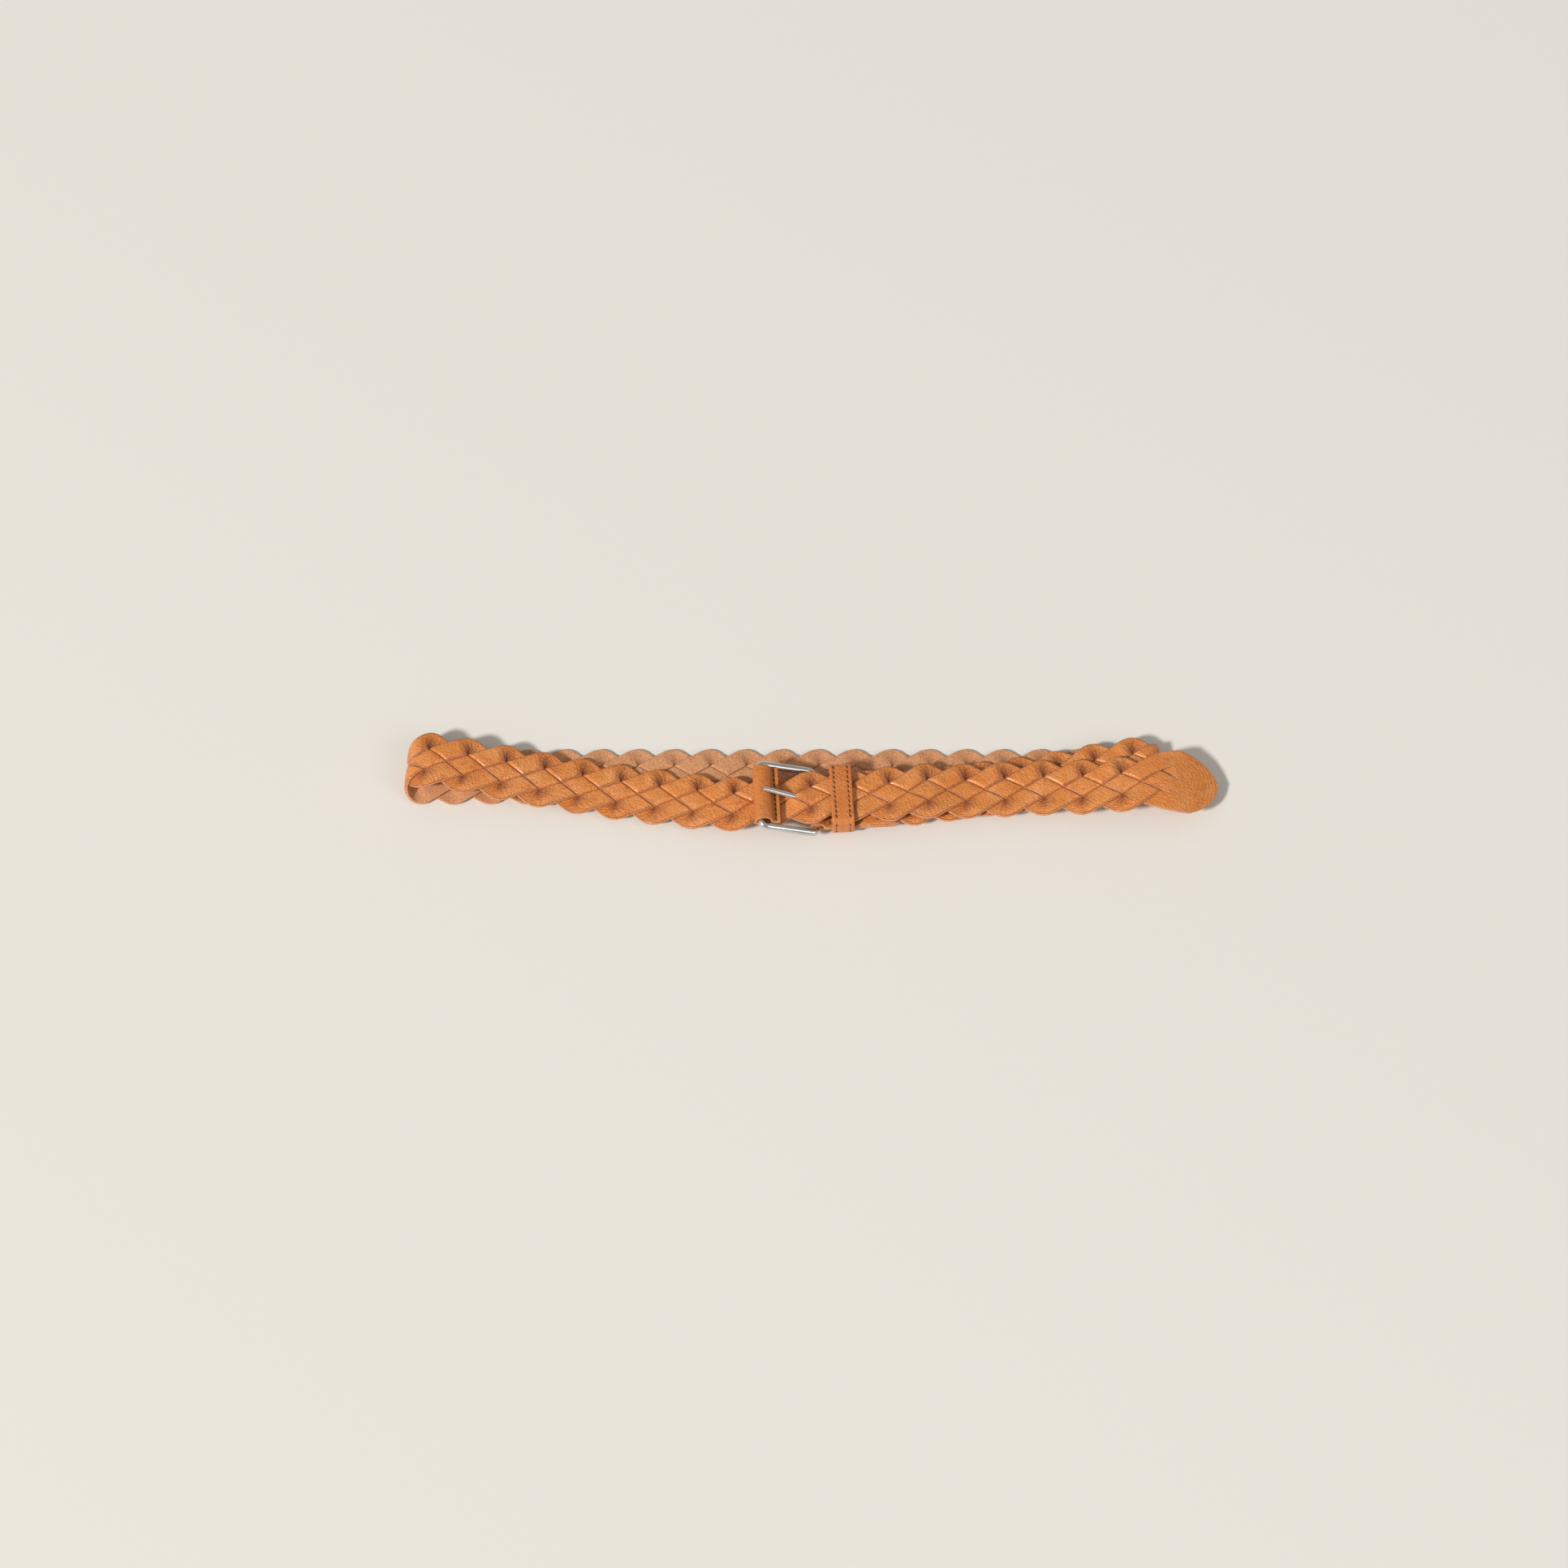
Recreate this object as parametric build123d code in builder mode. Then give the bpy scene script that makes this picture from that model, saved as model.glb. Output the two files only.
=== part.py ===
from build123d import *
import os
from math import cos, radians, sin

os.makedirs("parts", exist_ok=True)

# All lengths are millimetres. The belt is fastened into a loop, pressed flat and laid on a table:
# +X runs along the strap towards the tongue's tip, +Y points to the far side, +Z up from the table.
# Heights are measured from the table, and the back run's centreline lies at back_y.

# Braided strap, carried as four strands side by side
braid_thickness = 3.6
skived_thickness = 2.1          # ends of the braid, thinned between the leaves of the tab
strand_pitch = 8.0
strand_gap = 0.1
slot_half = 2.3                 # opening between the two middle strands for the prong
rest_gap = 0.35                 # clearance between layers that lie on each other

# Folds of the flattened loop
back_y = 11.25
left_fold_x = -211.0
left_fold_radius = 5.85
right_fold_x = 181.0
right_fold_radius = 4.6
fold_step = 30

# Buckle, set out from the middle of its pivot bar
pivot_x = 0.7
pivot_y = back_y - 19.4
pivot_z = 7.8
buckle_yaw = 3.0
wire_diameter = 4.0
frame_length = 32.0             # between the bars' centrelines
frame_width = 38.0              # between the side bars' centrelines
frame_corner = 3.5
frame_tilt = 20.56
running_gap = 0.06

# Prong
prong_slope = 32.25
prong_length = 33.0
prong_base_radius = 1.9
prong_tip_radius = 1.35
prong_eye_wall = 1.55
prong_eye_width = 4.0

# Leather sleeve on the front bar
sleeve_length = 33.4
sleeve_radius = 4.4
sleeve_wall = 1.2
sleeve_hang = 0.85              # how far the loose roll sits towards the pivot bar
flange_end = 10.0               # from the roll's axis
flange_thickness = 2.0
flange_drop = 4.7               # from the roll's axis down to the flange's underside

# Tab that holds the pivot bar
tab_width = 31.6
tab_neck_width = 29.6
tab_leaf = 1.4
tab_end = 44.0
tab_fork = 24.0
tab_corner = 4.0
tab_floor = 6.4                 # underside of the flat part
tab_slot_width = 5.0

# Keeper loop
keeper_centre = 13.9
keeper_width = 11.8
keeper_inner_width = 33.0
keeper_floor = 6.1
keeper_ceiling = 16.1
lining_thickness = 0.9
keeper_skin = 1.05
layer_gap = 0.05
keeper_corner = 1.6

# Solid end of the tongue
tip_length = 31.1
tip_half_width = 19.4
tip_root_half_width = 16.4
tip_thickness = 2.4
tip_droop = 15.0
tip_yaw = 3.2

# Thread
stitch_length = 2.4
stitch_width = 0.7
stitch_height = 0.35
stitch_pitch = 3.0
stitch_slant = 18

tongue_top = 13.9               # height of the tongue's middle over tab and keeper


def beside(distance, height, across=0.0):
    """Point of the buckle's own axes: distance from the pivot bar, and offset across the strap."""
    angle = radians(buckle_yaw)
    x = pivot_x + distance * cos(angle) - across * sin(angle)
    y = pivot_y + distance * sin(angle) + across * cos(angle)
    return (x, y, height)


along = Vector(cos(radians(buckle_yaw)), sin(radians(buckle_yaw)), 0)
across = Vector(-sin(radians(buckle_yaw)), cos(radians(buckle_yaw)), 0)
side_plane = Plane(origin=beside(0, 0), x_dir=along, z_dir=-across)


def run_station(x, y, z, yaw, thickness=braid_thickness, slot=0.0):
    """One cross-section of the strap, y being measured from the back run's centreline."""
    return ((x, back_y + y, z), yaw, thickness, slot)


def buckle_station(distance, z, thickness=braid_thickness, slot=0.0):
    return (beside(distance, z), buckle_yaw, thickness, slot)


def fold_stations(x, radius, side, y_ends, yaw_ends):
    """Half turn between the back run and a run above it, from the first end's height to the other's."""
    middle_z = braid_thickness / 2 + radius
    turned = []
    for step in range(fold_step, 180, fold_step):
        share = step / 180
        height = middle_z + side * radius * cos(radians(step))
        y = y_ends[0] + (y_ends[1] - y_ends[0]) * share
        yaw = yaw_ends[0] + (yaw_ends[1] - yaw_ends[0]) * share
        turned.append(run_station(x + side * radius * sin(radians(step)), y, height, yaw))
    return turned


right_top = braid_thickness / 2 + 2 * right_fold_radius
left_top = braid_thickness / 2 + 2 * left_fold_radius
skived_z = tab_floor + tab_leaf + skived_thickness / 2 + layer_gap

buckle_end_run = [
    buckle_station(tab_fork + 1.5, skived_z, skived_thickness),
    buckle_station(tab_end + 2, skived_z, skived_thickness),
    buckle_station(55, 8.0),
    run_station(80, -11.2, 5.75, 6.5),
    run_station(112, -7.0, 5.75, 8.5),
    run_station(131, -3.7, 6.3, 9.5),
    run_station(151, -0.4, 8.2, 8.0),
    run_station(168, 1.8, 10.2, 5.0),
    run_station(right_fold_x, 2.6, right_top, 2.0),
]
back_run = [
    run_station(right_fold_x, 0, braid_thickness / 2, 0),
    run_station(left_fold_x, 0, braid_thickness / 2, 0),
]
front_run = [
    run_station(left_fold_x, 3.4, left_top, -5.0),
    run_station(-190, 0.9, 12.9, -7.5),
    run_station(-165, -2.9, 10.4, -8.5),
    run_station(-135, -7.4, 7.3, -8.5),
    run_station(-110, -11.2, 5.95, -8.5),
    run_station(-85, -15.0, 5.95, -8.5),
    run_station(-65, -18.2, 7.0, -8.0),
    run_station(-49, -20.9, 8.7, -4.5),
]
tongue_run = [
    buckle_station(-36, 10.2),
    buckle_station(-28, 11.2),
    buckle_station(-19, 12.1),
    buckle_station(-15, 12.5, slot=slot_half),
    buckle_station(0, tongue_top, slot=slot_half),
    buckle_station(3.5, tongue_top),
    buckle_station(47, tongue_top),
    run_station(60, -15.0, 12.9, 5.0),
    run_station(80, -13.6, 9.95, 3.5),
    run_station(119, -11.6, 9.95, 1.0),
    run_station(140, -11.8, 11.1, -1.0),
    run_station(160, -12.0, 13.8, 1.5),
    run_station(172, -11.4, 15.1, 3.5),
    run_station(189, -10.2, 15.1, 3.2),
]

route = buckle_end_run
route = route + fold_stations(right_fold_x, right_fold_radius, 1, (2.6, 0), (2.0, 0))
route = route + back_run
route = route + fold_stations(left_fold_x, left_fold_radius, -1, (0, 3.4), (0, -5.0))
route = route + front_run + tongue_run


def section_planes(stations):
    """A plane square to the strap at each station, its x axis across and its y axis to the grain."""
    points = [Vector(*station[0]) for station in stations]
    planes = []
    for index, station in enumerate(stations):
        before = points[max(index - 1, 0)]
        after = points[min(index + 1, len(points) - 1)]
        sideways = Vector(-sin(radians(station[1])), cos(radians(station[1])), 0)
        forward = after - before
        forward = forward - sideways * forward.dot(sideways)
        planes.append(Plane(origin=points[index], x_dir=sideways, z_dir=forward))
    return planes


def strand_section(lane, slot):
    """Centre and width of one strand's share of the strap, lanes counted from the near edge."""
    side = -1 if lane < 2 else 1
    outer_edge = 2 * strand_pitch
    share = (outer_edge - slot) / 2
    inner = slot if lane in (1, 2) else slot + share
    return side * (inner + share / 2), share - strand_gap


# Strands of the braid: soft pieces, kept as plain flat runs, each in short spans end to end
segments_per_fold = 180 // fold_step
segments_per_span = 3
span_gap = 0.02
right_start = len(buckle_end_run) - 1
back_start = right_start + segments_per_fold
back_end = back_start + 1
left_end = back_end + segments_per_fold
last = len(route) - 1
span_ends = [*range(0, right_start, segments_per_span), *range(right_start, back_start, segments_per_span),
             back_start, *range(back_end, left_end, segments_per_span),
             *range(left_end, last, segments_per_span), last]

planes = section_planes(route)
strands = []
for lane in range(4):
    with BuildPart() as strand:
        for first, final in zip(span_ends, span_ends[1:]):
            for index in range(first, final + 1):
                inset = span_gap * ((index == first) - (index == final))
                centre, width = strand_section(lane, route[index][3])
                with BuildSketch(planes[index].offset(inset)):
                    with Locations((centre, 0)):
                        Rectangle(width, route[index][2])
            loft(ruled=True)
    strand.part.label = f"strand_{lane + 1}"
    strands.append(strand.part)

# Solid pointed end of the tongue
tongue_end = Vector(*route[-1][0])
tip_heading = Vector(cos(radians(tip_yaw)) * cos(radians(tip_droop)),
                     sin(radians(tip_yaw)) * cos(radians(tip_droop)), -sin(radians(tip_droop)))
tip_across = Vector(-sin(radians(tip_yaw)), cos(radians(tip_yaw)), 0)
tip_plane = Plane(origin=tongue_end, x_dir=tip_heading, z_dir=tip_heading.cross(tip_across))
tip_start = 0.6
with BuildPart() as strap_tip:
    with BuildSketch(tip_plane):
        with BuildLine():
            Spline((tip_start, -tip_root_half_width), (8, -tip_half_width), (23, -13.6), (tip_length, 0),
                   (23, 13.6), (8, tip_half_width), (tip_start, tip_root_half_width),
                   tangents=((1, -0.6), (-1, -0.6)))
            Line((tip_start, tip_root_half_width), (tip_start, -tip_root_half_width))
        make_face()
    extrude(amount=tip_thickness / 2, both=True)
strap_tip.part.label = "strap_tip"

# Tab folded round the pivot bar, with two leaves that hold the braid's ends
bar_hole = wire_diameter / 2 + running_gap
tab_wrap = bar_hole + tab_leaf
tab_fold_top = tab_floor + 2 * tab_leaf
fork_top = tab_floor + 2 * tab_leaf + skived_thickness + 2 * layer_gap
with BuildPart() as buckle_tab:
    with BuildSketch(side_plane):
        with Locations((0, pivot_z)):
            Circle(tab_wrap)
        with BuildLine():
            Polyline((0.6, pivot_z + tab_wrap - 0.06), (6, tab_fold_top), (tab_fork - 4, tab_fold_top),
                     (tab_fork, fork_top), (tab_end, fork_top), (tab_end, fork_top - tab_leaf),
                     (tab_fork + 1, fork_top - tab_leaf), (tab_fork + 1, tab_floor + tab_leaf),
                     (tab_end, tab_floor + tab_leaf), (tab_end, tab_floor), (6, tab_floor),
                     (0.6, pivot_z - tab_wrap + 0.06), close=True)
        make_face()
        with Locations((0, pivot_z)):
            Circle(bar_hole, mode=Mode.SUBTRACT)
    extrude(amount=tab_width / 2, both=True)
    with BuildSketch(Plane(origin=beside(0, 0), x_dir=along, z_dir=(0, 0, 1))):
        Rectangle(10.5, tab_slot_width)
        with Locations((-1.5, tab_width / 2), (-1.5, -tab_width / 2)):
            Rectangle(13, tab_width - tab_neck_width)
    extrude(amount=20, mode=Mode.SUBTRACT)
    fillet(buckle_tab.edges().filter_by(Axis.Z).sort_by(SortBy.DISTANCE)[-4:], tab_corner)
buckle_tab.part.label = "buckle_tab"


def stitch_row(distance, height, pitch, count):
    """Row of thread across the strap, lying on the leather at the given height."""
    plane = Plane(origin=beside(distance, height), x_dir=across, z_dir=(0, 0, 1))
    with BuildPart() as row:
        with BuildSketch(plane):
            with GridLocations(pitch, 1, count, 1):
                SlotOverall(stitch_length, stitch_width, rotation=stitch_slant)
        extrude(amount=stitch_height)
    return row.part


tab_stitches_front = stitch_row(6.8, tab_fold_top + layer_gap, stitch_pitch, 10)
tab_stitches_front.label = "tab_stitches_front"
tab_stitches_rear = stitch_row(tab_fork + 8, fork_top + layer_gap, stitch_pitch, 10)
tab_stitches_rear.label = "tab_stitches_rear"

# Buckle frame, one closed wire that includes both bars
tilt = radians(frame_tilt)
frame_plane = Plane(origin=beside(0, pivot_z), x_dir=-along * cos(tilt) + Vector(0, 0, sin(tilt)),
                    z_dir=along * sin(tilt) + Vector(0, 0, cos(tilt)))
with BuildPart() as buckle_frame:
    with BuildLine(frame_plane) as frame_path:
        FilletPolyline((0, -frame_width / 2), (0, frame_width / 2), (frame_length, frame_width / 2),
                       (frame_length, -frame_width / 2), radius=frame_corner, close=True)
    with BuildSketch(Plane(origin=frame_path.line @ 0, z_dir=frame_path.line % 0)):
        Circle(wire_diameter / 2)
    sweep(path=frame_path.line)
buckle_frame.part.label = "buckle_frame"

# Prong, its eye closed round the pivot bar
slope = radians(prong_slope)
prong_way = -along * cos(slope) + Vector(0, 0, sin(slope))
eye_radius = bar_hole + prong_eye_wall
with BuildPart() as buckle_prong:
    with BuildSketch(side_plane):
        with Locations((0, pivot_z)):
            Circle(eye_radius)
            Circle(bar_hole, mode=Mode.SUBTRACT)
    extrude(amount=prong_eye_width / 2, both=True)
    pivot = Vector(*beside(0, pivot_z))
    with BuildSketch(Plane(origin=pivot + prong_way * (bar_hole + 0.5), z_dir=prong_way)):
        Circle(prong_base_radius)
    with BuildSketch(Plane(origin=pivot + prong_way * prong_length, z_dir=prong_way)):
        Circle(prong_tip_radius)
    loft()
    fillet(buckle_prong.edges().sort_by(Axis.Z)[-1], prong_tip_radius * 0.7)
buckle_prong.part.label = "buckle_prong"

# Sleeve: a loose roll round the front bar, closed by a flat flange on the strap
roll_x = -frame_length * cos(tilt) + sleeve_hang
roll_z = pivot_z + frame_length * sin(tilt)
flange_low = roll_z - flange_drop
flange_high = flange_low + flange_thickness
with BuildPart() as bar_sleeve:
    with BuildSketch(side_plane):
        with Locations((roll_x, roll_z)):
            Circle(sleeve_radius)
        with BuildLine():
            Polyline((roll_x + 0.4, roll_z - sleeve_radius + 0.02), (roll_x + flange_end, flange_low),
                     (roll_x + flange_end, flange_high), (roll_x + 6.2, flange_high),
                     (roll_x + 4.1, roll_z + 1.2), close=True)
        make_face()
        with Locations((roll_x, roll_z)):
            Circle(sleeve_radius - sleeve_wall, mode=Mode.SUBTRACT)
    extrude(amount=sleeve_length / 2, both=True)
bar_sleeve.part.label = "bar_sleeve"

sleeve_stitches = stitch_row(roll_x + 7.6, flange_high + layer_gap, stitch_pitch, 11)
sleeve_stitches.label = "sleeve_stitches"

# Keeper loop: lining and outer band round the tab and the tongue
keeper_middle = (keeper_floor + keeper_ceiling) / 2
keeper_height = keeper_ceiling - keeper_floor
keeper_plane = Plane(origin=beside(keeper_centre, keeper_middle), x_dir=across, z_dir=along)


def keeper_band(inner_growth, thickness):
    inner = (keeper_inner_width + 2 * inner_growth, keeper_height + 2 * inner_growth)
    outer = (inner[0] + 2 * thickness, inner[1] + 2 * thickness)
    with BuildPart() as band:
        with BuildSketch(keeper_plane):
            RectangleRounded(outer[0], outer[1], keeper_corner + inner_growth + thickness - lining_thickness)
            RectangleRounded(inner[0], inner[1], keeper_corner + inner_growth - lining_thickness,
                             mode=Mode.SUBTRACT)
        extrude(amount=keeper_width / 2, both=True)
    return band.part


keeper_lining = keeper_band(0, lining_thickness)
keeper_lining.label = "keeper_lining"
keeper_outer = keeper_band(lining_thickness + layer_gap, keeper_skin)
keeper_outer.label = "keeper_outer"

keeper_growth = lining_thickness + 2 * layer_gap + keeper_skin
keeper_roof = keeper_ceiling + keeper_growth
keeper_side = keeper_inner_width / 2 + keeper_growth
stitch_inset = keeper_width / 2 - 2.2
with BuildPart() as keeper_stitches:
    for offset in (-stitch_inset, stitch_inset):
        top = Plane(origin=beside(keeper_centre + offset, keeper_roof), x_dir=across, z_dir=(0, 0, 1))
        near = Plane(origin=beside(keeper_centre + offset, keeper_middle, -keeper_side),
                     x_dir=(0, 0, 1), z_dir=-across)
        far = Plane(origin=beside(keeper_centre + offset, keeper_middle, keeper_side),
                    x_dir=(0, 0, -1), z_dir=across)
        for plane, count in ((top, 10), (near, 2), (far, 2)):
            with BuildSketch(plane):
                with GridLocations(stitch_pitch, 1, count, 1):
                    SlotOverall(stitch_length, stitch_width, rotation=stitch_slant)
            extrude(amount=stitch_height)
keeper_stitches.part.label = "keeper_stitches"

pieces = strands + [strap_tip.part, buckle_tab.part, tab_stitches_front, tab_stitches_rear]
pieces = pieces + [buckle_frame.part, buckle_prong.part, bar_sleeve.part, sleeve_stitches]
pieces = pieces + [keeper_outer, keeper_lining, keeper_stitches.part]
for piece in pieces:
    export_step(piece, f"parts/{piece.label}.step")
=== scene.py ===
import bpy
import bmesh
import numpy as np
from math import cos, hypot, pi, radians, sin
from mathutils import Matrix, Vector


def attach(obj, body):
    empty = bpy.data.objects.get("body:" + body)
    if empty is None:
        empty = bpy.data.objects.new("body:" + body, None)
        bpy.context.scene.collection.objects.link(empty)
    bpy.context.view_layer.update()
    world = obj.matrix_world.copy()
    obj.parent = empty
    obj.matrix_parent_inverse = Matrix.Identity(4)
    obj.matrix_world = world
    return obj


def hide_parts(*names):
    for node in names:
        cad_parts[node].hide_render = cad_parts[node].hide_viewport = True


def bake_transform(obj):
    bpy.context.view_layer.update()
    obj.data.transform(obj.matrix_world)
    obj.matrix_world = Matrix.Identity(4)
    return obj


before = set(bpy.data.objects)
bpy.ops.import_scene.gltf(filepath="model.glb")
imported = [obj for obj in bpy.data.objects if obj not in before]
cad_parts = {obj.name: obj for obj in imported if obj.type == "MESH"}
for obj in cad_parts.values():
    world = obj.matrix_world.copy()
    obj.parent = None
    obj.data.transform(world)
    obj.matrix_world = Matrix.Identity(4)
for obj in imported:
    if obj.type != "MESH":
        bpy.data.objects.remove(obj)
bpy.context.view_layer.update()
scene = bpy.context.scene
MM = 0.001

# ---------------------------------------------------------------------------------------------
# Studio: the belt lies on a seamless pale table, seen from its near side at sixty degrees, with
# one large soft lamp high on the front left and a weaker fill from the right.
# ---------------------------------------------------------------------------------------------
view_width = 0.8502
lens = 85.0
sensor = 36.0
elevation = radians(60.0)
aim = Vector((-0.0163, 0.00785, 0.0))
camera_data = bpy.data.cameras.new("camera")
camera_data.lens = lens
camera_data.sensor_width = sensor
camera = bpy.data.objects.new("camera", camera_data)
scene.collection.objects.link(camera)
reach = view_width * lens / sensor
camera.location = aim + Vector((0.0, -cos(elevation), sin(elevation))) * reach
camera.rotation_euler = (aim - camera.location).to_track_quat("-Z", "Y").to_euler()
scene.camera = camera
scene.view_settings.view_transform = "Standard"

world = bpy.data.worlds.new("studio")
world.use_nodes = True
world.node_tree.nodes["Background"].inputs["Color"].default_value = (1.0, 0.985, 0.96, 1.0)
world.node_tree.nodes["Background"].inputs["Strength"].default_value = 0.345
scene.world = world


def lamp(name, place, size, power, tint):
    data = bpy.data.lights.new(name, "AREA")
    data.shape = "DISK"
    data.size = size
    data.energy = power
    data.color = tint
    lamp_object = bpy.data.objects.new(name, data)
    scene.collection.objects.link(lamp_object)
    lamp_object.location = place
    lamp_object.rotation_euler = (-Vector(place)).to_track_quat("-Z", "Y").to_euler()


lamp("key", (-9.0, -7.6, 10.1), 2.0, 2120.0, (1.0, 0.985, 0.965))
lamp("fill", (7.2, -4.3, 5.9), 6.0, 150.0, (1.0, 1.0, 1.0))

floor_mesh = bpy.data.meshes.new("table")
bm = bmesh.new()
bmesh.ops.create_grid(bm, x_segments=1, y_segments=1, size=4.0)
bm.to_mesh(floor_mesh)
bm.free()
floor = bpy.data.objects.new("table", floor_mesh)
scene.collection.objects.link(floor)
floor_paint = bpy.data.materials.new("table_paper")
floor_paint.use_nodes = True
paper = floor_paint.node_tree.nodes["Principled BSDF"]
paper.inputs["Base Color"].default_value = (0.80, 0.77, 0.715, 1.0)
paper.inputs["Roughness"].default_value = 0.9
paper.inputs["Specular IOR Level"].default_value = 0.1
floor_mesh.materials.append(floor_paint)

# ---------------------------------------------------------------------------------------------
# Braided strap: four strands of hide under two millimetres thick, slit from the tip, plaited flat.
# They run from the tab, round the right fold, along the table, round the left fold, under the
# buckle's front bar and on to the tip. The grain faces out of the loop, the flesh side inwards.
# ---------------------------------------------------------------------------------------------
back_y = 11.25
left_fold_x = -212.6
left_fold_radius = 5.85
right_fold_x = 181.0
right_fold_radius = 4.6
braid_depth = 3.6
pivot = Vector((0.7, back_y - 19.4, 7.8))
buckle_yaw = radians(3.0)
tab_fork = 24.0
tab_end = 44.0
skived_depth = 2.1
skived_z = 8.9
tongue_z = 13.9


def beside(distance, height, across=0.0):
    """Point on the buckle's own axes, measured from the middle of its pivot bar."""
    x = pivot.x + distance * cos(buckle_yaw) - across * sin(buckle_yaw)
    y = pivot.y + distance * sin(buckle_yaw) + across * cos(buckle_yaw)
    return (x, y, height)


def on_axis(distance, height):
    return (*beside(distance, height), 3.0)


def off_back(x, y, height, yaw):
    """Point given by its distance from the back run's centreline."""
    return (x, back_y + y, height, yaw)


def fold(x, radius, side, y_ends, yaw_ends):
    turned = []
    for step in range(15, 180, 15):
        share = step / 180
        height = braid_depth / 2 + radius + side * radius * cos(radians(step))
        turned.append(off_back(x + side * radius * sin(radians(step)),
                               y_ends[0] + (y_ends[1] - y_ends[0]) * share, height,
                               yaw_ends[0] + (yaw_ends[1] - yaw_ends[0]) * share))
    return turned


right_top = braid_depth / 2 + 2 * right_fold_radius
left_top = braid_depth / 2 + 2 * left_fold_radius
route = [on_axis(tab_fork + 1.5, skived_z), on_axis(36, skived_z), on_axis(tab_end + 2, skived_z),
         on_axis(55, 8.0), off_back(80, -11.2, 5.75, 6.5), off_back(96, -9.2, 5.7, 7.5),
         off_back(112, -7.0, 5.75, 8.5), off_back(131, -3.7, 6.3, 9.5), off_back(151, -0.4, 8.2, 8.0),
         off_back(168, 1.8, 10.2, 5.0), off_back(right_fold_x, 2.6, right_top, 2.0)]
route += fold(right_fold_x, right_fold_radius, 1, (2.6, 0), (2.0, 0))
route += [off_back(x, 0, braid_depth / 2, 0) for x in (right_fold_x, 160, 80, 0, -80, -190, left_fold_x)]
route += fold(left_fold_x, left_fold_radius, -1, (0, 3.4), (0, -5.0))
route += [off_back(left_fold_x, 3.4, left_top, -5.0), off_back(-190, 0.9, 12.9, -7.5),
          off_back(-165, -2.9, 10.4, -8.5), off_back(-135, -7.4, 7.3, -8.5),
          off_back(-110, -11.2, 5.95, -8.5), off_back(-85, -15.0, 5.95, -8.5),
          off_back(-65, -18.2, 7.0, -8.0), off_back(-49, -20.9, 8.7, -4.5),
          on_axis(-36, 10.2), on_axis(-28, 11.2), on_axis(-15, 12.5), on_axis(0, tongue_z),
          on_axis(15, tongue_z), on_axis(30, tongue_z), on_axis(47, tongue_z),
          off_back(60, -15.0, 12.9, 5.0), off_back(80, -13.6, 9.95, 3.5),
          off_back(99, -12.6, 9.8, 2.2), off_back(119, -11.6, 9.95, 1.0),
          off_back(140, -11.8, 11.1, -1.0), off_back(160, -12.0, 13.8, 1.5),
          off_back(172, -11.4, 15.1, 3.5), off_back(184, -10.5, 15.3, 3.2),
          off_back(194, -9.9, 14.3, 3.2), off_back(204, -9.3, 11.5, 3.2), off_back(222, -8.2, 5.2, 3.2)]


class Route:
    """The strap's centreline as a smooth curve, read by the distance along it."""

    def __init__(self, stations):
        points = np.array(stations)
        chord = np.linalg.norm(np.diff(points[:, :3], axis=0), axis=1)
        knots = np.concatenate(([0.0], np.cumsum(chord)))
        slopes = np.gradient(points, knots, axis=0)
        fine = np.arange(0.0, knots[-1], 0.25)
        cell = np.clip(np.searchsorted(knots, fine, side="right") - 1, 0, len(chord) - 1)
        width = chord[cell][:, None]
        t = ((fine - knots[cell]) / chord[cell])[:, None]
        rows = ((2 * t**3 - 3 * t**2 + 1) * points[cell] + (t**3 - 2 * t**2 + t) * width * slopes[cell]
                + (3 * t**2 - 2 * t**3) * points[cell + 1] + (t**3 - t**2) * width * slopes[cell + 1])
        self.centre = rows[:, :3]
        step = np.linalg.norm(np.diff(self.centre, axis=0), axis=1)
        self.s = np.concatenate(([0.0], np.cumsum(step)))
        yaw = np.radians(rows[:, 3])
        self.across = np.stack([-np.sin(yaw), np.cos(yaw), np.zeros(len(yaw))], axis=1)
        forward = np.gradient(self.centre, self.s, axis=0)
        outward = np.cross(forward, self.across)
        self.outward = outward / np.linalg.norm(outward, axis=1)[:, None]

    def read(self, table, s):
        return np.stack([np.interp(s, self.s, table[:, k]) for k in range(3)], axis=-1)

    def place(self, s, v, w):
        """Points at distance s along the strap, v across it and w out of its middle, in metres."""
        return (self.read(self.centre, s) + self.read(self.across, s) * v[..., None]
                + self.read(self.outward, s) * w[..., None]) * MM

    def distance_at(self, x, from_end=True):
        """Distance along the strap where its last (or first) pass reaches x."""
        order = range(len(self.s) - 1, 0, -1) if from_end else range(len(self.s) - 1)
        for index in order:
            if (self.centre[index, 0] - x) * (self.centre[index - 1, 0] - x) <= 0:
                return self.s[index]


strap = Route(route)

pitch = 21.0                    # between two scallops on one edge
lay = radians(30.8)             # slope of the strands
strand_width = 10.5
strand_depth = 1.75
turn_row = pitch / 2 * sin(lay) / cos(lay)
turn_radius = 5.4
ply = 0.92                      # how far a strand lies above or below the middle where it crosses
first_crossing = strap.distance_at(186.0)
tip_seam = strap.distance_at(199.0)
lane_width = 9.55


# The plait is pulled a little tighter along the back run than along the front.
left_cut = strap.distance_at(-205.0)
back_run_starts = strap.distance_at(right_fold_x, from_end=False) + 15.0
back_run_ends = left_cut - 30.0
back_run_middle = back_run_ends - 225.0
drawn_half = 15.7
drawn_whole = 28.0


def drawn_up(s):
    """Distance along the real strap of a place on the evenly pitched plait."""
    return np.interp(s, [-60.0, back_run_starts - drawn_whole, back_run_middle - drawn_half,
                         back_run_ends, 3000.0],
                     [drawn_whole - 60.0, back_run_starts, back_run_middle, back_run_ends, 3000.0])


def smooth(t):
    t = np.clip(t, 0.0, 1.0)
    return t * t * (3 - 2 * t)


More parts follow.
